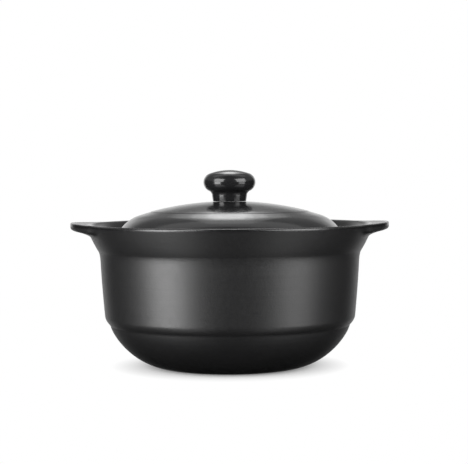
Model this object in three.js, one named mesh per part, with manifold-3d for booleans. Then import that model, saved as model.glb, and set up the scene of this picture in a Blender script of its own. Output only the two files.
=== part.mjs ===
// A one-litre ceramic stew pot: round body, two wing handles, domed lid and mushroom knob.
// Millimetres, +Z up, origin at the middle of the base, handles along X.

import * as THREE from 'three';
import { mergeVertices } from 'three/addons/utils/BufferGeometryUtils.js';
import Module from 'manifold-3d';

// Overall: across the handles, and from the table to the top of the knob
const overallSpan = 187;
const overallHeight = 115;

// Pot outside, from the table up
const footInnerRadius = 31;
const footRecess = 1.2;
const footRadius = 41.3;
const bowlHeight = 24.7;
const bowlFloorAngle = THREE.MathUtils.degToRad(9);
const bowlFloorPull = 16;
const bowlSideAngle = THREE.MathUtils.degToRad(74);
const bowlSidePull = 8;
const shoulderStep = 3;
const shoulderHeight = 5.2;
const shoulderBend = 2.2;
const wallTaper = 2.6;
const wallCrown = 0.4;
const collarHeight = 17;
const collarFlare = 8.1;
const collarFootLean = THREE.MathUtils.degToRad(42);
const collarTopLean = THREE.MathUtils.degToRad(24);
const rimEdgeRadius = 1.2;

// Pot inside
const floorThickness = 7;
const wallThickness = 6.3;
const floorFlatRadius = 38;
const floorPull = 12;
const innerWallPull = 11.5;
const ledgeRise = 3.5;
const ledgeWidth = 3.6;
const ledgeCorner = 0.8;
const rimRoll = 2.7;

// Handles
const handleReach = 9.3;
const handleRise = 0.9;
const handleTipThickness = 4.4;
const handleRootDrop = 6;
const handleEndRadius = 40;
const handleTopEdge = 0.8;
const handleUnderEdge = 2;
const handleTaperEnd = 1;
const handleOverlap = 3;

// Lid
const lidRise = 25.9;
const lidDomeRadius = 186;
const lidThickness = 5.2;
const lidPlay = 1.4;
const lidEdgeHeight = 2.2;
const lidEdgeCorner = 0.9;
const lidRingRadius = 46;
const lidRingStep = 0.45;
const lidRingBevel = 0.9;
const lidShoulderInset = 13.1;
const lidShoulderDrop = 3.6;
const lidShoulderRoll = 6.5;
const skirtPlay = 1.2;
const skirtDepth = 3.6;
const skirtThickness = 4.2;
const skirtDraft = 0.5;

// Knob
const knobHeight = 18.3;
const knobRadius = 15.3;
const knobBulgeRadius = 5.5;
const knobCrownDrop = 1.7;
const stemFootRadius = 9.8;
const stemRadius = 10.3;
const stemFillet = 3;
const knobSeatMargin = 1;

// Clearances
const lutingGap = 0.3;
const seatGap = 0.3;

// Facets
const roundSegments = 60;
const knobSegments = 36;
const facetLength = 7;
const facetTurn = THREE.MathUtils.degToRad(23);
const handleSteps = 26;
const edgeSteps = 4;

// Places worked out from the sizes above
const lidStack = ledgeRise + seatGap + lidRise + lutingGap + knobHeight;
const wallBase = bowlHeight + shoulderHeight;
const wallHeight = overallHeight - lidStack - wallBase;
const wallRadius = overallSpan / 2 - handleReach - collarFlare - wallTaper;
const wallTop = wallBase + wallHeight;
const wallTopRadius = wallRadius + wallTaper;
const rimHeight = wallTop + collarHeight;
const rimRadius = wallTopRadius + collarFlare;
const rimCrestRadius = rimRadius - rimEdgeRadius;
const mouthRadius = wallTopRadius - wallThickness;
const ledgeHeight = wallTop + ledgeRise;
const ledgeRadius = mouthRadius + ledgeWidth;
const handleTip = rimRadius + handleReach;
const lidSeat = ledgeHeight + seatGap;
const lidCrown = lidSeat + lidRise;
const lidRadius = ledgeRadius - lidPlay;
const knobSeat = lidCrown + lutingGap;
const knobTop = knobSeat + knobHeight;

// The outline of the pot's flared collar and rolled rim edge, from the wall up to the rim's crest
function drawCollar(path) {
  const edgeHeight = rimHeight - rimEdgeRadius;
  const endRadius = rimCrestRadius + rimEdgeRadius * Math.cos(collarTopLean);
  const endHeight = edgeHeight - rimEdgeRadius * Math.sin(collarTopLean);
  const footSlope = Math.tan(collarFootLean);
  const topSlope = Math.tan(collarTopLean);
  const spareFlare = endRadius - wallTopRadius - topSlope * (endHeight - wallTop);
  const bendRise = spareFlare / (footSlope - topSlope);
  path.quadraticCurveTo(
    wallTopRadius + footSlope * bendRise, wallTop + bendRise,
    endRadius, endHeight
  );
  path.absarc(rimCrestRadius, edgeHeight, rimEdgeRadius, -collarTopLean, Math.PI / 2, false);
}

// Turns a profile of radius and height about the vertical axis
function revolve(points, segments) {
  const geometry = new THREE.LatheGeometry(points, segments);
  geometry.rotateX(Math.PI / 2);
  return geometry;
}

// The point at a given distance from one point on the way to another
function pointTowards(from, to, distance) {
  return from.clone().addScaledVector(to.clone().sub(from).normalize(), distance);
}

// Corners of a drawn outline: the ends of its straight lines, and steps along each curve that are
// short enough for its length and for how far it turns
function facetPoints(path) {
  const points = [path.getPoint(0)];
  path.curves.forEach((curve) => {
    const turn = curve.getTangent(0).angleTo(curve.getTangent(1));
    const curveSteps = Math.ceil(Math.max(curve.getLength() / facetLength, turn / facetTurn));
    points.push(...curve.getPoints(curve.isLineCurve ? 1 : curveSteps).slice(1));
  });
  return points;
}

// Round pot: foot ring, bowl, shoulder, wall, collar and rim outside; funnel, ledge and floor inside
function potProfile() {
  const bowlRadius = wallRadius - shoulderStep;
  const wallSlope = (wallTaper + 2 * wallCrown) / wallHeight;
  const innerWallRadius = wallRadius - wallThickness;
  const path = new THREE.Path();
  path.moveTo(0, footRecess);
  path.lineTo(footInnerRadius - footRecess, footRecess);
  path.lineTo(footInnerRadius, 0);
  path.lineTo(footRadius, 0);
  path.bezierCurveTo(
    footRadius + bowlFloorPull * Math.cos(bowlFloorAngle),
    bowlFloorPull * Math.sin(bowlFloorAngle),
    bowlRadius - bowlSidePull * Math.cos(bowlSideAngle),
    bowlHeight - bowlSidePull * Math.sin(bowlSideAngle),
    bowlRadius, bowlHeight
  );
  path.quadraticCurveTo(
    wallRadius - wallSlope * shoulderBend, wallBase - shoulderBend,
    wallRadius, wallBase
  );
  path.quadraticCurveTo(
    wallRadius + wallTaper / 2 + wallCrown, wallBase + wallHeight / 2,
    wallTopRadius, wallTop
  );
  drawCollar(path);
  path.quadraticCurveTo(rimCrestRadius - rimRoll, rimHeight, ledgeRadius, ledgeHeight);
  path.lineTo(mouthRadius + ledgeCorner, ledgeHeight);
  path.quadraticCurveTo(mouthRadius, ledgeHeight, mouthRadius, ledgeHeight - ledgeCorner);
  path.lineTo(innerWallRadius, wallBase);
  path.bezierCurveTo(
    innerWallRadius, wallBase - innerWallPull,
    floorFlatRadius + floorPull, floorThickness,
    floorFlatRadius, floorThickness
  );
  path.lineTo(0, floorThickness);
  return facetPoints(path);
}

// Domed lid: hollow underside, locating skirt, seat edge, flank, rolled shoulder, ring step and dome
function lidProfile() {
  const landRadius = stemFootRadius + knobSeatMargin;
  const domeCentre = lidCrown - Math.sqrt(lidDomeRadius ** 2 - landRadius ** 2);
  const ringHeight = domeCentre + Math.sqrt(lidDomeRadius ** 2 - lidRingRadius ** 2);
  const ringFoot = new THREE.Vector2(lidRingRadius + lidRingBevel, ringHeight - lidRingStep);
  const shoulder = new THREE.Vector2(lidRadius - lidShoulderInset, ringFoot.y - lidShoulderDrop);
  const edgeTop = lidSeat + lidEdgeHeight;
  const flankFoot = new THREE.Vector2(lidRadius - lidEdgeCorner, edgeTop);
  const rollStart = pointTowards(shoulder, ringFoot, lidShoulderRoll);
  const rollEnd = pointTowards(shoulder, flankFoot, lidShoulderRoll);
  const skirtRadius = mouthRadius - skirtPlay;
  const skirtFoot = lidSeat - skirtDepth;
  const hollowFoot = new THREE.Vector2(skirtRadius - skirtThickness - skirtDraft, edgeTop);
  const hollowTop = lidCrown - lidThickness;
  const hollowShoulder = new THREE.Vector2(shoulder.x - lidThickness / 2, shoulder.y - lidThickness);
  const hollowRollEnd = pointTowards(hollowShoulder, hollowFoot, lidShoulderRoll);
  const path = new THREE.Path();
  path.moveTo(0, hollowTop);
  path.quadraticCurveTo(
    hollowShoulder.x / 2, hollowTop,
    hollowShoulder.x - lidShoulderRoll, hollowShoulder.y
  );
  path.quadraticCurveTo(hollowShoulder.x, hollowShoulder.y, hollowRollEnd.x, hollowRollEnd.y);
  path.lineTo(hollowFoot.x, hollowFoot.y);
  path.lineTo(skirtRadius - skirtThickness, skirtFoot);
  path.lineTo(skirtRadius - skirtDraft, skirtFoot);
  path.lineTo(skirtRadius, lidSeat);
  path.lineTo(lidRadius, lidSeat);
  path.lineTo(lidRadius, edgeTop - lidEdgeCorner);
  path.quadraticCurveTo(lidRadius, edgeTop, flankFoot.x, flankFoot.y);
  path.lineTo(rollEnd.x, rollEnd.y);
  path.quadraticCurveTo(shoulder.x, shoulder.y, rollStart.x, rollStart.y);
  path.lineTo(ringFoot.x, ringFoot.y);
  path.lineTo(lidRingRadius, ringHeight);
  path.absarc(
    0, domeCentre, lidDomeRadius,
    Math.acos(lidRingRadius / lidDomeRadius), Math.acos(landRadius / lidDomeRadius), false
  );
  path.lineTo(0, lidCrown);
  return facetPoints(path);
}

// Mushroom knob: slightly tapered stem, hollow fillet, round bulge and low crown
function knobProfile() {
  const bulgeCentreRadius = knobRadius - knobBulgeRadius;
  const bulgeDrop = knobCrownDrop + knobBulgeRadius;
  const bulgeCentre = new THREE.Vector2(bulgeCentreRadius, knobTop - bulgeDrop);
  const filletOffset = stemRadius + stemFillet - bulgeCentreRadius;
  const centreDistance = knobBulgeRadius + stemFillet;
  const filletDrop = Math.sqrt(centreDistance ** 2 - filletOffset ** 2);
  const filletCentre = new THREE.Vector2(stemRadius + stemFillet, bulgeCentre.y - filletDrop);
  const filletEnd = Math.atan2(filletDrop, -filletOffset);
  const crownSquares = bulgeCentreRadius ** 2 + bulgeDrop ** 2 - knobBulgeRadius ** 2;
  const crownRadius = crownSquares / (2 * knobCrownDrop);
  const crownCentre = knobTop - crownRadius;
  const crownStart = Math.atan2(bulgeCentre.y - crownCentre, bulgeCentreRadius);
  const path = new THREE.Path();
  path.moveTo(0, knobSeat);
  path.lineTo(stemFootRadius, knobSeat);
  path.lineTo(stemRadius, filletCentre.y);
  path.absarc(filletCentre.x, filletCentre.y, stemFillet, Math.PI, filletEnd, true);
  path.absarc(bulgeCentre.x, bulgeCentre.y, knobBulgeRadius, filletEnd - Math.PI, crownStart, false);
  path.absarc(0, crownCentre, crownRadius, crownStart, Math.PI / 2, false);
  return facetPoints(path);
}

// Plan of a wing handle: straight flanks that leave the rim as tangents and run into one round end
function handlePlan() {
  const endCentre = handleTip - handleEndRadius;
  const spread = Math.acos((rimRadius - handleEndRadius) / endCentre);
  const flank = new THREE.Vector2(Math.cos(spread), Math.sin(spread));
  const alongFlank = new THREE.Vector2(Math.sin(spread), -Math.cos(spread));
  const flankStart = Math.sqrt((rimRadius + handleTaperEnd) ** 2 - rimRadius ** 2);
  const first = flank.clone().multiplyScalar(rimRadius).addScaledVector(alongFlank, flankStart);
  const last = flank.clone().multiplyScalar(handleEndRadius);
  last.x += endCentre;
  const path = new THREE.Path();
  path.moveTo(first.x, first.y);
  path.lineTo(last.x, last.y);
  path.absarc(endCentre, 0, handleEndRadius, spread, -spread, true);
  path.lineTo(first.x, -first.y);
  return path.getSpacedPoints(handleSteps);
}

// Upright section of a handle out to the given reach, as radius and height, round its edge
function handleSection(reach) {
  const span = handleTip - rimCrestRadius;
  const rootRadius = rimCrestRadius - handleOverlap;
  const rootHeight = rimHeight - handleRootDrop;
  const tipBottom = rimHeight + handleRise - handleTipThickness;
  const topAt = (radius) => rimHeight + handleRise * ((radius - rimCrestRadius) / span) ** 2;
  const bottomAt = (radius) => {
    const share = (radius - rimCrestRadius) / span;
    return rootHeight + (tipBottom - rootHeight) * share;
  };
  const midway = (rimCrestRadius + reach - handleUnderEdge) / 2;
  const section = [
    new THREE.Vector2(rootRadius, rimHeight),
    new THREE.Vector2(rimCrestRadius, rimHeight),
    new THREE.Vector2(midway, topAt(midway)),
  ];
  const roundEdge = (level, radius, from, to) => {
    for (let i = 0; i <= edgeSteps; i += 1) {
      const turn = THREE.MathUtils.lerp(from, to, i / edgeSteps);
      section.push(new THREE.Vector2(
        reach - radius + radius * Math.cos(turn),
        level + radius * Math.sin(turn)
      ));
    }
  };
  roundEdge(topAt(reach) - handleTopEdge, handleTopEdge, Math.PI / 2, 0);
  roundEdge(bottomAt(reach) + handleUnderEdge, handleUnderEdge, 0, -Math.PI / 2);
  section.push(new THREE.Vector2(midway, bottomAt(midway)));
  section.push(new THREE.Vector2(rimCrestRadius, rootHeight));
  section.push(new THREE.Vector2(rootRadius, rootHeight));
  return section;
}

// Skins a row of sections, one upright plane for each plan point, and closes both ends
function loftSections(plan) {
  const sections = plan.map((point) => handleSection(point.length()));
  const around = sections[0].length;
  const positions = [];
  const triangles = [];
  plan.forEach((point, i) => {
    const outward = point.clone().normalize();
    sections[i].forEach((corner) => {
      positions.push(outward.x * corner.x, outward.y * corner.x, corner.y);
    });
  });
  for (let i = 0; i < plan.length - 1; i += 1) {
    for (let j = 0; j < around; j += 1) {
      const a = i * around + j;
      const b = i * around + ((j + 1) % around);
      triangles.push(a, a + around, b);
      triangles.push(b, a + around, b + around);
    }
  }
  const last = (plan.length - 1) * around;
  THREE.ShapeUtils.triangulateShape(sections[0], []).forEach(([a, b, c]) => {
    triangles.push(c, b, a);
    triangles.push(last + a, last + b, last + c);
  });
  const geometry = new THREE.BufferGeometry();
  geometry.setAttribute('position', new THREE.Float32BufferAttribute(positions, 3));
  geometry.setIndex(triangles);
  return geometry;
}

// Ring that stands for the pot's collar grown by the luting gap, to trim the handles with
function collarTrim() {
  const collar = new THREE.Path();
  collar.moveTo(wallTopRadius, wallTop);
  drawCollar(collar);
  const outline = facetPoints(collar);
  const grown = outline.map((point, i) => {
    const before = outline[Math.max(i - 1, 0)];
    const after = outline[Math.min(i + 1, outline.length - 1)];
    const along = after.clone().sub(before).normalize();
    return new THREE.Vector2(point.x + along.y * lutingGap, point.y - along.x * lutingGap);
  });
  const innerRadius = rimCrestRadius - 2 * handleOverlap;
  grown.push(new THREE.Vector2(innerRadius, rimHeight + lutingGap));
  grown.push(new THREE.Vector2(innerRadius, grown[0].y));
  grown.push(grown[0].clone());
  return revolve(grown, roundSegments);
}

const wasm = await Module();
wasm.setup();

// A closed solid from a geometry, with its shared corners merged
function toSolid(geometry) {
  geometry.deleteAttribute('normal');
  geometry.deleteAttribute('uv');
  const merged = mergeVertices(geometry);
  return new wasm.Manifold(new wasm.Mesh({
    numProp: 3,
    vertProperties: merged.attributes.position.array,
    triVerts: Uint32Array.from(merged.index.array),
  }));
}

// A geometry from a closed solid
function toGeometry(solid) {
  const mesh = solid.getMesh();
  const geometry = new THREE.BufferGeometry();
  geometry.setAttribute('position', new THREE.Float32BufferAttribute(mesh.vertProperties, 3));
  geometry.setIndex(Array.from(mesh.triVerts));
  geometry.computeVertexNormals();
  return geometry;
}

function handleGeometry() {
  const wing = toSolid(loftSections(handlePlan()));
  return toGeometry(wing.subtract(toSolid(collarTrim())));
}

const bodyGlaze = new THREE.MeshStandardMaterial({ color: 0x1b1b1c, roughness: 0.42, metalness: 0 });
const lidGlaze = new THREE.MeshStandardMaterial({ color: 0x141415, roughness: 0.12, metalness: 0 });

const stewPot = new THREE.Group();

function addPiece(name, geometry, material) {
  const piece = new THREE.Mesh(geometry, material.clone());
  piece.name = name;
  stewPot.add(piece);
  return piece;
}

addPiece('pot_body', revolve(potProfile(), roundSegments), bodyGlaze);
addPiece('handle_right', handleGeometry(), bodyGlaze);
addPiece('handle_left', handleGeometry(), bodyGlaze).rotation.z = Math.PI;
addPiece('lid', revolve(lidProfile(), roundSegments), lidGlaze);
addPiece('lid_knob', revolve(knobProfile(), knobSegments), lidGlaze);

export default stewPot;
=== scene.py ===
# Looks of a one-litre ceramic stew pot: satin black pot with wing handles, gloss black lid and knob.

import math

import bpy
from mathutils import Matrix, Vector


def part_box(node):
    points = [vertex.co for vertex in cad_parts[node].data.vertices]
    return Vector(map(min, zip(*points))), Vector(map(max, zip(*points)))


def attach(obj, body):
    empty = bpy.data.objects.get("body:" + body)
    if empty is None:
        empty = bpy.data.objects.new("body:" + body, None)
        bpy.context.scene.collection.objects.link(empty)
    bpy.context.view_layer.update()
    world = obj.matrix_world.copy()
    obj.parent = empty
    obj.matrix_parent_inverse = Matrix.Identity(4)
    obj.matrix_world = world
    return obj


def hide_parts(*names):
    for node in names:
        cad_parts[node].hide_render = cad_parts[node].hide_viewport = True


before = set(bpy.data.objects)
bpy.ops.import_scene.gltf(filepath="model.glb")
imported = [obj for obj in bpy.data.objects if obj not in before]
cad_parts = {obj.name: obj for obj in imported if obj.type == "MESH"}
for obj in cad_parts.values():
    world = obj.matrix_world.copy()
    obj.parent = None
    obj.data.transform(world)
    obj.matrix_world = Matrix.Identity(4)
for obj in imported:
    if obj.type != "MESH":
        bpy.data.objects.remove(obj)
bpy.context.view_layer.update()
MM = 0.001


def span_mm(node):
    """A CAD node's lowest and highest corner in millimetres."""
    low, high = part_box(node)
    return low / MM, high / MM


# Main sizes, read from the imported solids, in millimetres
_, POT_HIGH = span_mm("pot_body")
_, WING_HIGH = span_mm("handle_right")
LID_LOW, LID_HIGH = span_mm("lid")
KNOB_LOW, KNOB_HIGH = span_mm("lid_knob")
RIM_RADIUS = POT_HIGH.y
RIM_HEIGHT = POT_HIGH.z
HANDLE_TIP = WING_HIGH.x
LID_RADIUS = LID_HIGH.y
LID_CROWN = LID_HIGH.z
SKIRT_FOOT = LID_LOW.z
KNOB_RADIUS = KNOB_HIGH.y
KNOB_SEAT = KNOB_LOW.z
KNOB_TOP = KNOB_HIGH.z

# Pot outside
FOOT_INNER_RADIUS = 31
FOOT_RECESS = 1.2
FOOT_RADIUS = 41.3
FOOT_EDGE = 0.5
BOWL_HEIGHT = 24.7
BOWL_FLOOR_ANGLE = math.radians(9)
BOWL_FLOOR_PULL = 16
BOWL_SIDE_ANGLE = math.radians(74)
BOWL_SIDE_PULL = 8
KINK_SOFTNESS = 0.8
SHOULDER_STEP = 3
SHOULDER_HEIGHT = 5.2
SHOULDER_BEND = 2.2
WALL_TAPER = 2.6
WALL_CROWN = 0.4
CREASE_SOFTNESS = 1.6
CREASE_FALL = 5.0
COLLAR_HEIGHT = 17
COLLAR_FLARE = 8.1
COLLAR_FOOT_LEAN = math.radians(42)
COLLAR_TOP_LEAN = math.radians(24)
RIM_EDGE_RADIUS = 1.2

# Pot inside
FLOOR_THICKNESS = 7
WALL_THICKNESS = 6.3
FLOOR_FLAT_RADIUS = 38
FLOOR_PULL = 12
INNER_WALL_PULL = 11.5
LEDGE_RISE = 3.5
LEDGE_WIDTH = 3.6
LEDGE_CORNER = 0.8
RIM_ROLL = 2.7

# Handles
HANDLE_RISE = 0.9
HANDLE_TIP_THICKNESS = 4.4
HANDLE_ROOT_DROP = 6
HANDLE_END_RADIUS = 40
HANDLE_TOP_EDGE = 0.8
HANDLE_UNDER_EDGE = 2
HANDLE_ROOT_FILLET = 1.6
HANDLE_BLEND = 2.5

# Lid and knob
SEAT_GAP = 0.3
LID_DOME_RADIUS = 186
LID_THICKNESS = 5.2
LID_EDGE_HEIGHT = 2.2
LID_EDGE_CORNER = 0.9
LID_RING_RADIUS = 46
LID_RING_STEP = 0.45
LID_RING_BEVEL = 0.9
LID_RING_EASE = 0.35
LID_SHOULDER_INSET = 13.1
LID_SHOULDER_DROP = 3.6
LID_SHOULDER_ROLL = 6.5
SKIRT_PLAY = 1.2
SKIRT_THICKNESS = 4.2
SKIRT_DRAFT = 0.5
SKIRT_EDGE = 0.6
LID_SEAT_EDGE = 0.4
KNOB_BULGE_RADIUS = 5.5
KNOB_CROWN_DROP = 1.7
STEM_FOOT_RADIUS = 9.8
STEM_RADIUS = 10.3
STEM_FILLET = 3
KNOB_LAND_MARGIN = 1

# Fineness of the meshes, with turns in degrees
COLLAR_STEPS = 12
WING_STEP = 0.8
PLAIN_STEP = 2.0
WING_MARGIN = 1
LID_SEGMENTS = 240
KNOB_SEGMENTS = 144
SHARP_ANGLE = math.radians(38)
HALVINGS = 40
SAME_POINT = 1e-6
LEAST_WING = 0.01

# Places worked out from the sizes above
WALL_TOP = RIM_HEIGHT - COLLAR_HEIGHT
WALL_TOP_RADIUS = RIM_RADIUS - COLLAR_FLARE
WALL_RADIUS = WALL_TOP_RADIUS - WALL_TAPER
WALL_BASE = BOWL_HEIGHT + SHOULDER_HEIGHT
RIM_CREST_RADIUS = RIM_RADIUS - RIM_EDGE_RADIUS
RIM_EDGE_HEIGHT = RIM_HEIGHT - RIM_EDGE_RADIUS
MOUTH_RADIUS = WALL_TOP_RADIUS - WALL_THICKNESS
LEDGE_HEIGHT = WALL_TOP + LEDGE_RISE
LEDGE_RADIUS = MOUTH_RADIUS + LEDGE_WIDTH
LID_SEAT = LEDGE_HEIGHT + SEAT_GAP
HANDLE_END_CENTRE = HANDLE_TIP - HANDLE_END_RADIUS
HANDLE_SPREAD = math.acos((RIM_RADIUS - HANDLE_END_RADIUS) / HANDLE_END_CENTRE)


class Outline:
    """A row of radius and height points, drawn by lines, Bezier curves and arcs."""

    def __init__(self, r, z):
        self.points = [(r, z)]

    def line(self, r, z, steps=1):
        return self.curve((r, z), steps=steps)

    def curve(self, *controls, steps=12):
        hull = [self.points[-1], *controls]
        for i in range(1, steps + 1):
            t = i / steps
            row = hull
            while len(row) > 1:
                row = [
                    (a[0] + (b[0] - a[0]) * t, a[1] + (b[1] - a[1]) * t)
                    for a, b in zip(row, row[1:])
                ]
            self.points.append(row[0])
        return self

    def arc(self, r, z, radius, start, end, steps=10):
        for i in range(steps + 1):
            turn = start + (end - start) * i / steps
            point = (r + radius * math.cos(turn), z + radius * math.sin(turn))
            if math.dist(point, self.points[-1]) > SAME_POINT:
                self.points.append(point)
        return self


def towards(start, end, distance):
    """The point at a given distance from one point on the way to another."""
    length = math.dist(start, end)
    return tuple(a + (b - a) * distance / length for a, b in zip(start, end))


def smoothstep(x):
    x = min(max(x, 0), 1)
    return x * x * (3 - 2 * x)


COLLAR_END = (
    RIM_CREST_RADIUS + RIM_EDGE_RADIUS * math.cos(COLLAR_TOP_LEAN),
    RIM_EDGE_HEIGHT - RIM_EDGE_RADIUS * math.sin(COLLAR_TOP_LEAN),
)
COLLAR_BEND = (
    COLLAR_END[0] - WALL_TOP_RADIUS - math.tan(COLLAR_TOP_LEAN) * (COLLAR_END[1] - WALL_TOP)
) / (math.tan(COLLAR_FOOT_LEAN) - math.tan(COLLAR_TOP_LEAN))
COLLAR_JOIN = RIM_HEIGHT - HANDLE_ROOT_DROP - HANDLE_ROOT_FILLET


def collar_radius(height):
    """Radius of the flared collar at a height, found by halving along its curve, or on the rim's edge."""
    if height > COLLAR_END[1]:
        return RIM_CREST_RADIUS + math.sqrt(RIM_EDGE_RADIUS**2 - (RIM_EDGE_HEIGHT - height) ** 2)
    bend_radius = WALL_TOP_RADIUS + math.tan(COLLAR_FOOT_LEAN) * COLLAR_BEND
    low, high = 0.0, 1.0
    for _ in range(HALVINGS):
        t = (low + high) / 2
        start, bend, end = (1 - t) ** 2, 2 * t * (1 - t), t * t
        z = start * WALL_TOP + bend * (WALL_TOP + COLLAR_BEND) + end * COLLAR_END[1]
        low, high = (t, high) if z < height else (low, t)
    return start * WALL_TOP_RADIUS + bend * bend_radius + end * COLLAR_END[0]


def lower_outline():
    """Pot from the middle of its base up the outside to where the handles start."""
    bowl_radius = WALL_RADIUS - SHOULDER_STEP
    wall_slope = (WALL_TAPER + 2 * WALL_CROWN) / (WALL_TOP - WALL_BASE)
    kink = (bowl_radius, BOWL_HEIGHT)
    shoulder = (WALL_RADIUS - wall_slope * SHOULDER_BEND, WALL_BASE - SHOULDER_BEND)
    out = Outline(0, FOOT_RECESS)
    recess_edge = FOOT_INNER_RADIUS - FOOT_RECESS
    out.line(recess_edge - FOOT_EDGE, FOOT_RECESS, steps=6)
    out.curve((recess_edge, FOOT_RECESS), (FOOT_INNER_RADIUS - FOOT_EDGE, FOOT_EDGE), steps=3)
    out.curve((FOOT_INNER_RADIUS, 0), (FOOT_INNER_RADIUS + FOOT_EDGE, 0), steps=3)
    out.line(FOOT_RADIUS, 0, steps=3)
    below_kink = (
        bowl_radius - KINK_SOFTNESS * math.cos(BOWL_SIDE_ANGLE),
        BOWL_HEIGHT - KINK_SOFTNESS * math.sin(BOWL_SIDE_ANGLE),
    )
    side_pull = BOWL_SIDE_PULL - KINK_SOFTNESS
    out.curve(
        (
            FOOT_RADIUS + BOWL_FLOOR_PULL * math.cos(BOWL_FLOOR_ANGLE),
            BOWL_FLOOR_PULL * math.sin(BOWL_FLOOR_ANGLE),
        ),
        (
            below_kink[0] - side_pull * math.cos(BOWL_SIDE_ANGLE),
            below_kink[1] - side_pull * math.sin(BOWL_SIDE_ANGLE),
        ),
        below_kink,
        steps=26,
    )
    above_kink = towards(kink, shoulder, KINK_SOFTNESS)
    out.curve(kink, above_kink, steps=6)
    out.curve(shoulder, (WALL_RADIUS, WALL_BASE), steps=14)
    wall_end = WALL_TOP - CREASE_FALL
    top_slope = (WALL_TAPER - 2 * WALL_CROWN) / (WALL_TOP - WALL_BASE)
    out.curve(
        (WALL_RADIUS + WALL_TAPER / 2 + WALL_CROWN, (WALL_BASE + WALL_TOP) / 2),
        (WALL_TOP_RADIUS - top_slope * CREASE_FALL, wall_end),
        steps=20,
    )
    collar_start = WALL_TOP + CREASE_SOFTNESS
    out.curve((WALL_TOP_RADIUS, WALL_TOP), (collar_radius(collar_start), collar_start), steps=12)
    climb = COLLAR_JOIN - collar_start
    for i in range(1, COLLAR_STEPS + 1):
        z = collar_start + climb * i / COLLAR_STEPS
        out.line(collar_radius(z), z)
    return out.points


def upper_outline():
    """Pot from the rim's crest down the funnel, over the ledge and to the middle of the floor."""
    out = Outline(RIM_CREST_RADIUS, RIM_HEIGHT)
    out.curve((RIM_CREST_RADIUS - RIM_ROLL, RIM_HEIGHT), (LEDGE_RADIUS, LEDGE_HEIGHT), steps=18)
    out.line(MOUTH_RADIUS + LEDGE_CORNER, LEDGE_HEIGHT, steps=2)
    out.curve((MOUTH_RADIUS, LEDGE_HEIGHT), (MOUTH_RADIUS, LEDGE_HEIGHT - LEDGE_CORNER), steps=5)
    inner = WALL_RADIUS - WALL_THICKNESS
    out.line(inner, WALL_BASE, steps=10)
    out.curve(
        (inner, WALL_BASE - INNER_WALL_PULL),
        (FLOOR_FLAT_RADIUS + FLOOR_PULL, FLOOR_THICKNESS),
        (FLOOR_FLAT_RADIUS, FLOOR_THICKNESS),
        steps=22,
    )
    out.line(0, FLOOR_THICKNESS, steps=8)
    return out.points


UPPER = upper_outline()

# The point of the funnel where a rim section ends, and a rim section's points through a handle:
# underside, under edge, side, top edge and top
FUNNEL_START = 3
BAND_STEPS = (9, 6, 2, 8, 8)


def plain_band():
    """Rim section where there is no handle: straight up the collar, over the edge and onto the funnel."""
    climb_steps = sum(BAND_STEPS[:3])
    climb = RIM_EDGE_HEIGHT - COLLAR_JOIN
    points = []
    for i in range(1, climb_steps + 1):
        z = COLLAR_JOIN + climb * i / climb_steps
        points.append((collar_radius(z), z))
    edge = Outline(*points[-1])
    edge.arc(RIM_CREST_RADIUS, RIM_EDGE_HEIGHT, RIM_EDGE_RADIUS, 0, math.pi / 2, BAND_STEPS[3])
    points += edge.points[1:]
    top = Outline(*points[-1])
    top.line(*UPPER[FUNNEL_START], steps=BAND_STEPS[4])
    return points + top.points[1:]


def wing_band(reach):
    """Rim section through a handle that ends at the given radius: underside, rounded edge and top."""
    span = HANDLE_TIP - RIM_CREST_RADIUS
    root = RIM_HEIGHT - HANDLE_ROOT_DROP
    tip_bottom = RIM_HEIGHT + HANDLE_RISE - HANDLE_TIP_THICKNESS

    def top_at(r):
        return RIM_HEIGHT + HANDLE_RISE * ((r - RIM_CREST_RADIUS) / span) ** 2

    def bottom_at(r):
        return root + (tip_bottom - root) * (r - RIM_CREST_RADIUS) / span

    under = reach - HANDLE_UNDER_EDGE
    low = bottom_at(reach) + HANDLE_UNDER_EDGE
    high = top_at(reach) - HANDLE_TOP_EDGE
    out = Outline(collar_radius(COLLAR_JOIN), COLLAR_JOIN)
    under_end = (max(under, RIM_CREST_RADIUS), bottom_at(reach))
    out.curve((collar_radius(root), root), under_end, steps=BAND_STEPS[0])
    for i in range(1, BAND_STEPS[1] + 1):
        turn = math.pi / 2 * (i / BAND_STEPS[1] - 1)
        out.line(under + HANDLE_UNDER_EDGE * math.cos(turn), low + HANDLE_UNDER_EDGE * math.sin(turn))
    out.line(reach, high, steps=BAND_STEPS[2])
    for i in range(1, BAND_STEPS[3] + 1):
        turn = math.pi / 2 * i / BAND_STEPS[3]
        out.line(
            reach - HANDLE_TOP_EDGE * (1 - math.cos(turn)), high + HANDLE_TOP_EDGE * math.sin(turn)
        )
    start = out.points[-1][0]
    inner_radius, inner_height = UPPER[FUNNEL_START]
    for i in range(1, BAND_STEPS[4] + 1):
        r = start + (inner_radius - start) * i / BAND_STEPS[4]
        inside = max(RIM_CREST_RADIUS - r, 0) / (RIM_CREST_RADIUS - inner_radius)
        out.line(r, top_at(max(r, RIM_CREST_RADIUS)) + (inner_height - RIM_HEIGHT) * inside)
    return out.points[1:]


PLAIN_BAND = plain_band()


def band(reach):
    """Rim section for a reach, easing from the plain rim into the handle."""
    grow = smoothstep((reach - RIM_RADIUS) / HANDLE_BLEND)
    if grow == 0:
        return PLAIN_BAND
    wing = wing_band(max(reach, RIM_RADIUS + LEAST_WING))
    return [
        (a[0] + (b[0] - a[0]) * grow, a[1] + (b[1] - a[1]) * grow) for a, b in zip(PLAIN_BAND, wing)
    ]


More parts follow.
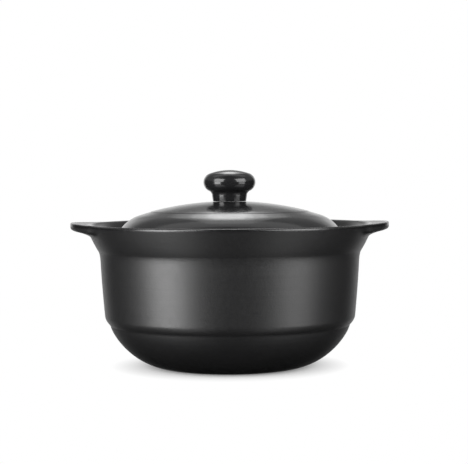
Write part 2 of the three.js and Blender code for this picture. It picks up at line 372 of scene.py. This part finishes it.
def wing_reach(azimuth):
    """Distance from the pot's axis to a handle's outline: rim, then tangent flank, then round end."""
    turn = math.atan2(abs(math.sin(azimuth)), abs(math.cos(azimuth)))
    if turn >= HANDLE_SPREAD:
        return RIM_RADIUS
    end_height = HANDLE_END_RADIUS * math.sin(HANDLE_SPREAD)
    end_out = HANDLE_END_CENTRE + HANDLE_END_RADIUS * math.cos(HANDLE_SPREAD)
    if turn >= math.atan2(end_height, end_out):
        return RIM_RADIUS / math.cos(HANDLE_SPREAD - turn)
    middle = HANDLE_END_CENTRE * math.cos(turn)
    return middle + math.sqrt(middle**2 - HANDLE_END_CENTRE**2 + HANDLE_END_RADIUS**2)


def azimuths():
    """Directions round the pot, closer together where the handles are."""
    turns = []
    wing = math.degrees(HANDLE_SPREAD) + WING_MARGIN
    close = [-wing + WING_STEP * i for i in range(round(2 * wing / WING_STEP))]
    plain = [wing + PLAIN_STEP * i for i in range(round((180 - 2 * wing) / PLAIN_STEP))]
    for half in (0, 180):
        turns += [math.radians(half + a) for a in close + plain]
    return turns


def skin(name, rows):
    """A smooth mesh over rows of points, one row for each direction round the axis."""
    count = len(rows)
    length = len(rows[0])
    vertices = [rows[0][0]]
    for row in rows:
        vertices += row[1:-1]
    vertices.append(rows[0][-1])
    inner = length - 2
    last = len(vertices) - 1
    faces = []
    for i in range(count):
        a = 1 + i * inner
        b = 1 + (i + 1) % count * inner
        faces.append((0, b, a))
        for j in range(inner - 1):
            faces.append((a + j, b + j, b + j + 1, a + j + 1))
        faces.append((a + inner - 1, b + inner - 1, last))
    mesh = bpy.data.meshes.new(name)
    mesh.from_pydata([tuple(c * MM for c in v) for v in vertices], [], faces)
    mesh.polygons.foreach_set("use_smooth", [True] * len(mesh.polygons))
    mesh.set_sharp_from_angle(angle=SHARP_ANGLE)
    mesh.update()
    piece = bpy.data.objects.new(name, mesh)
    bpy.context.scene.collection.objects.link(piece)
    return piece


def turned(name, outline, segments):
    """A piece turned about the pot's axis."""
    rows = []
    for i in range(segments):
        turn = 2 * math.pi * i / segments
        rows.append([(r * math.cos(turn), r * math.sin(turn), z) for r, z in outline])
    return skin(name, rows)


def pot_skin():
    """The pot with both handles as one glazed surface."""
    lower = lower_outline()
    upper = UPPER[FUNNEL_START + 1:]
    rows = []
    for turn in azimuths():
        outline = lower + band(wing_reach(turn)) + upper
        rows.append([(r * math.cos(turn), r * math.sin(turn), z) for r, z in outline])
    return skin("pot_skin", rows)


def lid_outline():
    """Lid from the middle of its hollow, round skirt and seat, up the flank and over the dome."""
    land = STEM_FOOT_RADIUS + KNOB_LAND_MARGIN
    dome_centre = LID_CROWN - math.sqrt(LID_DOME_RADIUS**2 - land**2)
    ring_height = dome_centre + math.sqrt(LID_DOME_RADIUS**2 - LID_RING_RADIUS**2)
    ring_foot = (LID_RING_RADIUS + LID_RING_BEVEL, ring_height - LID_RING_STEP)
    shoulder = (LID_RADIUS - LID_SHOULDER_INSET, ring_foot[1] - LID_SHOULDER_DROP)
    edge_top = LID_SEAT + LID_EDGE_HEIGHT
    flank_foot = (LID_RADIUS - LID_EDGE_CORNER, edge_top)
    skirt = MOUTH_RADIUS - SKIRT_PLAY
    hollow_top = LID_CROWN - LID_THICKNESS
    hollow_foot = (skirt - SKIRT_THICKNESS - SKIRT_DRAFT, edge_top)
    hollow_shoulder = (shoulder[0] - LID_THICKNESS / 2, shoulder[1] - LID_THICKNESS)
    out = Outline(0, hollow_top)
    out.curve(
        (hollow_shoulder[0] / 2, hollow_top),
        (hollow_shoulder[0] - LID_SHOULDER_ROLL, hollow_shoulder[1]),
        steps=14,
    )
    out.curve(hollow_shoulder, towards(hollow_shoulder, hollow_foot, LID_SHOULDER_ROLL), steps=8)
    out.line(*hollow_foot, steps=3)
    skirt_inner = (skirt - SKIRT_THICKNESS, SKIRT_FOOT)
    skirt_outer = (skirt - SKIRT_DRAFT, SKIRT_FOOT)
    seat_inner = (skirt, LID_SEAT)
    out.line(*towards(skirt_inner, hollow_foot, SKIRT_EDGE))
    out.curve(skirt_inner, towards(skirt_inner, skirt_outer, SKIRT_EDGE), steps=4)
    out.line(*towards(skirt_outer, skirt_inner, SKIRT_EDGE))
    out.curve(skirt_outer, towards(skirt_outer, seat_inner, SKIRT_EDGE), steps=4)
    out.line(*seat_inner)
    out.line(LID_RADIUS - LID_SEAT_EDGE, LID_SEAT)
    out.curve((LID_RADIUS, LID_SEAT), (LID_RADIUS, LID_SEAT + LID_SEAT_EDGE), steps=4)
    out.line(LID_RADIUS, edge_top - LID_EDGE_CORNER)
    out.curve((LID_RADIUS, edge_top), flank_foot, steps=6)
    out.line(*towards(shoulder, flank_foot, LID_SHOULDER_ROLL), steps=8)
    out.curve(shoulder, towards(shoulder, ring_foot, LID_SHOULDER_ROLL), steps=12)
    ring_top = (LID_RING_RADIUS, ring_height)
    out.line(*towards(ring_foot, shoulder, LID_RING_EASE), steps=6)
    out.curve(ring_foot, towards(ring_foot, ring_top, LID_RING_EASE), steps=3)
    out.line(*towards(ring_top, ring_foot, LID_RING_EASE))
    dome_edge = LID_RING_RADIUS - LID_RING_EASE
    start = math.acos(dome_edge / LID_DOME_RADIUS)
    after = (dome_edge, dome_centre + LID_DOME_RADIUS * math.sin(start))
    out.curve(ring_top, after, steps=3)
    out.arc(0, dome_centre, LID_DOME_RADIUS, start, math.acos(land / LID_DOME_RADIUS), steps=16)
    out.line(0, LID_CROWN, steps=3)
    return out.points


def knob_outline():
    """Mushroom knob from the middle of its foot, up the stem, round the bulge and to the crown."""
    bulge = KNOB_RADIUS - KNOB_BULGE_RADIUS
    bulge_drop = KNOB_CROWN_DROP + KNOB_BULGE_RADIUS
    bulge_height = KNOB_TOP - bulge_drop
    offset = STEM_RADIUS + STEM_FILLET - bulge
    drop = math.sqrt((KNOB_BULGE_RADIUS + STEM_FILLET) ** 2 - offset**2)
    fillet = (STEM_RADIUS + STEM_FILLET, bulge_height - drop)
    fillet_end = math.atan2(drop, -offset)
    squares = bulge**2 + bulge_drop**2 - KNOB_BULGE_RADIUS**2
    crown_radius = squares / (2 * KNOB_CROWN_DROP)
    crown_centre = KNOB_TOP - crown_radius
    crown_start = math.atan2(bulge_height - crown_centre, bulge)
    out = Outline(0, KNOB_SEAT)
    out.line(STEM_FOOT_RADIUS, KNOB_SEAT, steps=3)
    out.line(STEM_RADIUS, fillet[1], steps=3)
    out.arc(*fillet, STEM_FILLET, math.pi, fillet_end, steps=10)
    out.arc(bulge, bulge_height, KNOB_BULGE_RADIUS, fillet_end - math.pi, crown_start, steps=24)
    out.arc(0, crown_centre, crown_radius, crown_start, math.pi / 2, steps=10)
    return out.points


# Materials, with depths of bumps in metres

# Parts of a noise's range, stretched over a range of roughness or over a mask
NOISE_SPAN = (0.3, 0.7)
FLECK_SPAN = (0.62, 0.74)

SATIN_IOR = 1.85
SATIN_DARK = (0.0058, 0.0058, 0.0061)
SATIN_PALE = (0.0097, 0.0097, 0.0103)
SATIN_FLECK = (0.017, 0.017, 0.018)
SATIN_ROUGHNESS = (0.40, 0.46)
THROWING_DEPTH = 0.00004
STIPPLE_DEPTH = 0.00004
DIP_IOR = 1.55
DIP_ROUGHNESS = (0.48, 0.54)
GLOSS_IOR = 1.70
GLOSS_DARK = (0.013, 0.013, 0.0136)
GLOSS_PALE = (0.019, 0.019, 0.0199)
GLOSS_ROUGHNESS = (0.14, 0.19)
WAVE_DEPTH = 0.00012
GLOSS_STIPPLE_DEPTH = 0.00001
CLAY_DARK = (0.055, 0.048, 0.043)
CLAY_PALE = (0.115, 0.102, 0.092)
CLAY_ROUGHNESS = (0.78, 0.92)
CLAY_GRAIN_DEPTH = 0.00008

# Where the satin glaze starts and ends to run smoother, in millimetres below the rim, and by how much
RUN_START = 2.2
RUN_END = 0.8
RUN_ROUGHNESS = -0.2


class Nodes:
    """Short ways to make and join the nodes of one material."""

    def __init__(self, name):
        self.material = bpy.data.materials.new(name)
        self.material.use_nodes = True
        self.tree = self.material.node_tree
        self.shader = self.tree.nodes["Principled BSDF"]
        self.place = self.add("ShaderNodeTexCoord").outputs["Object"]

    def add(self, kind, **settings):
        node = self.tree.nodes.new(kind)
        for key, value in settings.items():
            setattr(node, key, value)
        return node

    def join(self, source, target):
        self.tree.links.new(source, target)

    def noise(self, scale, detail=2.0, roughness=0.5, place=None):
        node = self.add("ShaderNodeTexNoise")
        node.inputs["Scale"].default_value = scale
        node.inputs["Detail"].default_value = detail
        node.inputs["Roughness"].default_value = roughness
        self.join(place or self.place, node.inputs["Vector"])
        return node.outputs["Fac"]

    def stretched(self, x, y, z):
        node = self.add("ShaderNodeMapping")
        node.inputs["Scale"].default_value = (x, y, z)
        self.join(self.place, node.inputs["Vector"])
        return node.outputs["Vector"]

    def ramp(self, source, low, high, to_low=0.0, to_high=1.0):
        node = self.add("ShaderNodeMapRange")
        node.inputs["From Min"].default_value = low
        node.inputs["From Max"].default_value = high
        node.inputs["To Min"].default_value = to_low
        node.inputs["To Max"].default_value = to_high
        self.join(source, node.inputs["Value"])
        return node.outputs["Result"]

    def math(self, operation, first, second):
        node = self.add("ShaderNodeMath", operation=operation)
        self.join(first, node.inputs[0])
        self.join(second, node.inputs[1])
        return node.outputs[0]

    def blend(self, factor, first, second):
        node = self.add("ShaderNodeMix", data_type="RGBA")
        node.inputs["A"].default_value = (*first, 1) if isinstance(first, tuple) else (0, 0, 0, 1)
        node.inputs["B"].default_value = (*second, 1)
        if not isinstance(first, tuple):
            self.join(first, node.inputs["A"])
        self.join(factor, node.inputs["Factor"])
        return node.outputs["Result"]

    def bump(self, height, distance, under=None):
        node = self.add("ShaderNodeBump")
        node.inputs["Distance"].default_value = distance
        self.join(height, node.inputs["Height"])
        if under is not None:
            self.join(under, node.inputs["Normal"])
        return node.outputs["Normal"]


def body_glaze(name, roughness, ior):
    """Satin black glaze: soft sheen, fine stipple, faint throwing lines and slightly paler flecks.
    It has run smoother over the rim and the tops of the handles."""
    made = Nodes(name)
    shader = made.shader
    cloud = made.noise(38, detail=3)
    fleck = made.ramp(made.noise(1900, detail=1), *FLECK_SPAN)
    height = made.add("ShaderNodeSeparateXYZ")
    made.join(made.place, height.inputs[0])
    run_start = (RIM_HEIGHT - RUN_START) * MM
    run_end = (RIM_HEIGHT - RUN_END) * MM
    run = made.ramp(height.outputs["Z"], run_start, run_end, 0.0, RUN_ROUGHNESS)
    base = made.blend(cloud, SATIN_DARK, SATIN_PALE)
    made.join(made.blend(fleck, base, SATIN_FLECK), shader.inputs["Base Color"])
    sheen = made.ramp(made.noise(520, detail=4, roughness=0.6), *NOISE_SPAN, *roughness)
    made.join(made.math("ADD", sheen, run), shader.inputs["Roughness"])
    lines = made.noise(1, detail=2, place=made.stretched(6, 6, 620))
    normal = made.bump(lines, THROWING_DEPTH)
    normal = made.bump(made.noise(900, detail=3), STIPPLE_DEPTH, under=normal)
    made.join(normal, shader.inputs["Normal"])
    shader.inputs["IOR"].default_value = ior
    return made.material


def lid_glaze():
    """Gloss black glaze: clear reflections with the slight waviness of a fired surface."""
    made = Nodes("lid_glaze")
    shader = made.shader
    cloud = made.noise(45, detail=3)
    made.join(made.blend(cloud, GLOSS_DARK, GLOSS_PALE), shader.inputs["Base Color"])
    sheen = made.ramp(made.noise(260, detail=4, roughness=0.6), *NOISE_SPAN, *GLOSS_ROUGHNESS)
    made.join(sheen, shader.inputs["Roughness"])
    normal = made.bump(made.noise(80, detail=1), WAVE_DEPTH)
    normal = made.bump(made.noise(700, detail=2), GLOSS_STIPPLE_DEPTH, under=normal)
    made.join(normal, shader.inputs["Normal"])
    shader.inputs["IOR"].default_value = GLOSS_IOR
    return made.material


def bare_clay():
    """Unglazed stoneware on the foot ring, on the lid's seat and under the knob."""
    made = Nodes("bare_clay")
    shader = made.shader
    grain = made.noise(1400, detail=5, roughness=0.65)
    made.join(made.blend(grain, CLAY_DARK, CLAY_PALE), shader.inputs["Base Color"])
    made.join(made.ramp(grain, *NOISE_SPAN, *CLAY_ROUGHNESS), shader.inputs["Roughness"])
    made.join(made.bump(made.noise(2200, detail=4), CLAY_GRAIN_DEPTH), shader.inputs["Normal"])
    return made.material


def dress(piece, body, nodes, glazes, finish_of):
    """Materials, and the CAD nodes and body that the piece stands for and rides on."""
    for glaze in glazes:
        piece.data.materials.append(glaze)
    for face in piece.data.polygons:
        face.material_index = finish_of(face)
    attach(piece, body)
    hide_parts(*nodes)


LID_GLAZE = lid_glaze()
BARE_CLAY = bare_clay()

# Places of the finishes in the pot's list of materials, and in the lid's and the knob's
SATIN, DIP, GLOSS, CLAY = range(4)
GLAZED, BARE = range(2)

# Limits that tell a face's finish, with heights in millimetres
FACES_DOWN = -0.9
FACES_INWARD = -0.2
FACES_UP = 0.5
HEIGHT_SLACK = 0.1
LEDGE_MARGIN = 1


def looks_down(face, height):
    """Whether a face is a flat underside at a height in millimetres."""
    return face.normal.z < FACES_DOWN and abs(face.center.z / MM - height) < HEIGHT_SLACK


def pot_finish(face):
    """Satin glaze, the duller dip below the shoulder, gloss glaze inside or bare clay on the foot ring."""
    if looks_down(face, 0):
        return CLAY
    outward = face.normal.xy.dot(face.center.xy) / face.center.xy.length
    in_hollow = face.normal.z > FACES_UP and face.center.z < (LEDGE_HEIGHT + LEDGE_MARGIN) * MM
    if outward < FACES_INWARD or in_hollow:
        return GLOSS
    return DIP if face.center.z < BOWL_HEIGHT * MM else SATIN


POT_GLAZES = (
    body_glaze("body_glaze", SATIN_ROUGHNESS, SATIN_IOR),
    body_glaze("bowl_dip", DIP_ROUGHNESS, DIP_IOR),
    LID_GLAZE,
    BARE_CLAY,
)
LID_GLAZES = (LID_GLAZE, BARE_CLAY)
dress(
    pot_skin(), "pot", ("pot_body", "handle_left", "handle_right"), POT_GLAZES, pot_finish,
)
dress(
    turned("lid_skin", lid_outline(), LID_SEGMENTS), "lid", ("lid",), LID_GLAZES,
    lambda face: BARE if looks_down(face, LID_SEAT) else GLAZED,
)
dress(
    turned("knob_skin", knob_outline(), KNOB_SEGMENTS), "lid", ("lid_knob",), LID_GLAZES,
    lambda face: BARE if looks_down(face, KNOB_SEAT) else GLAZED,
)


# Floor, flags, lights and camera, in metres

FLOOR_SIDES = 96
FLOOR_PAINT = 0.93
FLOOR_OPAQUE = 0.105
FLOOR_EDGE = 0.145
# Radii where the camera's view of the floor turns to white emission: painted light over the floor's shadow
# outside the foot
SHADOW_NEAR = 0.036
SHADOW_FAR = 0.070
FLAG_RADIUS = 3.0
FLAG_COLUMNS = 48
FLAG_ROWS = 24
FLAG_CLOTH = 0.02

# Openings in the scrims. The first two numbers say how far back or up a direction points where an
# opening starts and ends, and the other two, where given, how clear it is there
MIDDLE_BACK = (0.95, 0.985)
MIDDLE_LIFT = (0.15, 0.34, 1.0, 0.28)
SIDES_BACK = (0.74, 0.88)
SIDES_LIFT = (0.28, 0.55, 1.0, 0.25)
BEHIND_LIFT = (-0.43, -0.25)
AROUND_BACK = (-0.8, -0.5)
AROUND_LIFT = (0.17, 0.35, 0.0, 0.22)

# Strength of the world's light, and the height that the lamps point at
AMBIENT = 0.35
AIM_HEIGHT = 0.05


def white_floor():
    """A pale round floor whose edge fades into the white background. Away from the foot the camera sees
    white emission in place of the floor: painted light over the floor's outer shadow.
    """
    mesh = bpy.data.meshes.new("floor")
    turns = [2 * math.pi * i / FLOOR_SIDES for i in range(FLOOR_SIDES)]
    edge = [(FLOOR_EDGE * math.cos(turn), FLOOR_EDGE * math.sin(turn), 0) for turn in turns]
    mesh.from_pydata(edge, [], [range(FLOOR_SIDES)])
    floor = bpy.data.objects.new("floor", mesh)
    bpy.context.scene.collection.objects.link(floor)
    made = Nodes("floor")
    tree = made.tree
    tree.nodes.remove(made.shader)
    length = made.add("ShaderNodeVectorMath", operation="LENGTH")
    made.join(made.place, length.inputs[0])
    fade = made.ramp(length.outputs["Value"], FLOOR_OPAQUE, FLOOR_EDGE)
    # Painted light: past SHADOW_NEAR the camera sees white emission instead of the shaded floor, fully
    # white by SHADOW_FAR
    painted_white = made.ramp(length.outputs["Value"], SHADOW_NEAR, SHADOW_FAR)
    seen = made.add("ShaderNodeLightPath").outputs["Is Camera Ray"]
    paint = made.add("ShaderNodeBsdfDiffuse")
    paint.inputs["Color"].default_value = (FLOOR_PAINT, FLOOR_PAINT, FLOOR_PAINT, 1)
    white = made.add("ShaderNodeEmission")
    near = made.add("ShaderNodeMixShader")
    made.join(made.math("MULTIPLY", painted_white, seen), near.inputs[0])
    made.join(paint.outputs[0], near.inputs[1])
    made.join(white.outputs[0], near.inputs[2])
    clear = made.add("ShaderNodeBsdfTransparent")
    mix = made.add("ShaderNodeMixShader")
    made.join(fade, mix.inputs[0])
    made.join(near.outputs[0], mix.inputs[1])
    made.join(clear.outputs[0], mix.inputs[2])
    made.join(mix.outputs[0], tree.nodes["Material Output"].inputs["Surface"])
    mesh.materials.append(made.material)
    floor.visible_glossy = False


def dark_flags():
    """Dark scrims all round the set, thinner behind and above the pot, seen in gloss only."""
    vertices = []
    faces = []
    for j in range(FLAG_ROWS + 1):
        lift = math.pi * (j / FLAG_ROWS - 0.5)
        for i in range(FLAG_COLUMNS):
            turn = 2 * math.pi * i / FLAG_COLUMNS
            vertices.append((
                FLAG_RADIUS * math.cos(lift) * math.sin(turn),
                FLAG_RADIUS * math.cos(lift) * math.cos(turn),
                FLAG_RADIUS * math.sin(lift),
            ))
    for j in range(FLAG_ROWS):
        for i in range(FLAG_COLUMNS):
            a = j * FLAG_COLUMNS + i
            b = j * FLAG_COLUMNS + (i + 1) % FLAG_COLUMNS
            faces.append((a, b, b + FLAG_COLUMNS, a + FLAG_COLUMNS))
    mesh = bpy.data.meshes.new("dark_flags")
    mesh.from_pydata(vertices, [], faces)
    flags = bpy.data.objects.new("dark_flags", mesh)
    bpy.context.scene.collection.objects.link(flags)
    made = Nodes("flag_cloth")
    outward = made.add("ShaderNodeVectorMath", operation="NORMALIZE")
    made.join(made.place, outward.inputs[0])
    parts = made.add("ShaderNodeSeparateXYZ")
    made.join(outward.outputs[0], parts.inputs[0])
    level = made.add("ShaderNodeVectorMath", operation="MULTIPLY")
    level.inputs[1].default_value = (1, 1, 0)
    made.join(made.place, level.inputs[0])
    flat = made.add("ShaderNodeVectorMath", operation="NORMALIZE")
    made.join(level.outputs[0], flat.inputs[0])
    turned_back = made.add("ShaderNodeSeparateXYZ")
    made.join(flat.outputs[0], turned_back.inputs[0])
    lift = parts.outputs["Z"]
    back = turned_back.outputs["Y"]
    # Straight behind the pot the scrims are open low down, and thicken with height
    middle = made.ramp(back, *MIDDLE_BACK)
    narrow = made.math("MULTIPLY", middle, made.ramp(lift, *MIDDLE_LIFT))
    # On both sides of that they stay open to a greater height
    sides = made.math("SUBTRACT", made.ramp(back, *SIDES_BACK), middle)
    wide = made.math("MULTIPLY", sides, made.ramp(lift, *SIDES_LIFT))
    # Below the set they are closed
    above_floor = made.ramp(lift, *BEHIND_LIFT)
    behind = made.math("MULTIPLY", made.math("ADD", wide, narrow), above_floor)
    # Overhead and at the sides, but not on the camera's side, they let a little through
    overhead = made.ramp(lift, *AROUND_LIFT)
    around = made.math("MULTIPLY", made.ramp(back, *AROUND_BACK), overhead)
    openness = made.math("MAXIMUM", behind, around)
    clear = made.add("ShaderNodeBsdfTransparent")
    mix = made.add("ShaderNodeMixShader")
    made.shader.inputs["Base Color"].default_value = (FLAG_CLOTH, FLAG_CLOTH, FLAG_CLOTH, 1)
    made.shader.inputs["Roughness"].default_value = 1
    made.join(openness, mix.inputs[0])
    made.join(made.shader.outputs[0], mix.inputs[1])
    made.join(clear.outputs[0], mix.inputs[2])
    made.join(mix.outputs[0], made.tree.nodes["Material Output"].inputs["Surface"])
    mesh.materials.append(made.material)
    flags.visible_camera = False
    flags.visible_diffuse = False
    flags.visible_transmission = False
    flags.visible_shadow = False


def white_world():
    """White behind everything, as the camera and the glaze see it, with a plain level of soft light."""
    world = bpy.data.worlds.new("studio")
    bpy.context.scene.world = world
    world.use_nodes = True
    nodes, links = world.node_tree.nodes, world.node_tree.links
    seen = nodes["Background"]
    seen.inputs["Color"].default_value = (1, 1, 1, 1)
    seen.inputs["Strength"].default_value = 1
    soft = nodes.new("ShaderNodeBackground")
    soft.inputs["Color"].default_value = (1, 1, 1, 1)
    soft.inputs["Strength"].default_value = AMBIENT
    path = nodes.new("ShaderNodeLightPath")
    either = nodes.new("ShaderNodeMath")
    either.operation = "MAXIMUM"
    links.new(path.outputs["Is Camera Ray"], either.inputs[0])
    links.new(path.outputs["Is Glossy Ray"], either.inputs[1])
    any_of = nodes.new("ShaderNodeMath")
    any_of.operation = "MAXIMUM"
    links.new(either.outputs[0], any_of.inputs[0])
    links.new(path.outputs["Is Transmission Ray"], any_of.inputs[1])
    mix = nodes.new("ShaderNodeMixShader")
    links.new(any_of.outputs[0], mix.inputs[0])
    links.new(soft.outputs[0], mix.inputs[1])
    links.new(seen.outputs[0], mix.inputs[2])
    links.new(mix.outputs[0], nodes["World Output"].inputs["Surface"])


def soft_box(name, azimuth, distance, height, width, tall, radiance):
    """A rectangular soft box, with its azimuth in degrees from the camera's side towards the right."""
    lamp = bpy.data.lights.new(name, "AREA")
    lamp.shape = "RECTANGLE"
    lamp.size = width
    lamp.size_y = tall
    lamp.energy = radiance * math.pi * width * tall
    box = bpy.data.objects.new(name, lamp)
    bpy.context.scene.collection.objects.link(box)
    turn = math.radians(azimuth)
    box.location = (distance * math.sin(turn), -distance * math.cos(turn), height)
    aim = Vector((0, 0, AIM_HEIGHT)) - box.location
    box.rotation_euler = aim.to_track_quat("-Z", "Y").to_euler()


# Each soft box's name, azimuth, distance, height, width, tallness and radiance
SOFT_BOXES = (
    ("left_low_box", -55, 0.9, -0.08, 0.46, 0.56, 5.1),
    ("right_low_box", 57, 0.9, -0.08, 0.46, 0.56, 2.1),
    ("left_fill", -50, 0.80, -0.72, 0.5, 0.4, 0.8),
    ("right_fill", 52, 0.80, -0.72, 0.5, 0.4, 0.7),
    ("left_box", -50, 0.9, 0.50, 0.80, 0.60, 4.0),
    ("right_box", 54, 0.9, 0.50, 0.80, 0.60, 3.4),
    ("back_box_wide", 180, 0.92, 1.23, 0.54, 1.27, 0.5),
    ("back_box", 180, 1.06, 1.11, 0.34, 0.69, 0.95),
    ("back_box_core", 180, 1.07, 1.05, 0.20, 0.47, 1.5),
    ("top_panel", 180, 0.44, 1.69, 2.6, 0.78, 0.42),
)

white_floor()
dark_flags()
white_world()
for box_sizes in SOFT_BOXES:
    soft_box(*box_sizes)

CAMERA_DISTANCE = 0.846
CAMERA_HEIGHT = 0.115
CAMERA_PITCH = math.radians(2.47)
CAMERA_YAW = math.radians(0.17)
CAMERA_ROLL = math.radians(0.3)
CAMERA_LENS = 110.7
CAMERA_SENSOR = 36

camera = bpy.data.objects.new("camera", bpy.data.cameras.new("camera"))
bpy.context.scene.collection.objects.link(camera)
camera.data.sensor_width = CAMERA_SENSOR
camera.data.lens = CAMERA_LENS
camera.rotation_euler = (
    Matrix.Rotation(-CAMERA_YAW, 3, "Z")
    @ Matrix.Rotation(math.pi / 2 - CAMERA_PITCH, 3, "X")
    @ Matrix.Rotation(-CAMERA_ROLL, 3, "Z")
).to_euler()
camera.location = (0, -CAMERA_DISTANCE, CAMERA_HEIGHT)
bpy.context.scene.camera = camera
bpy.context.scene.view_settings.view_transform = "Standard"
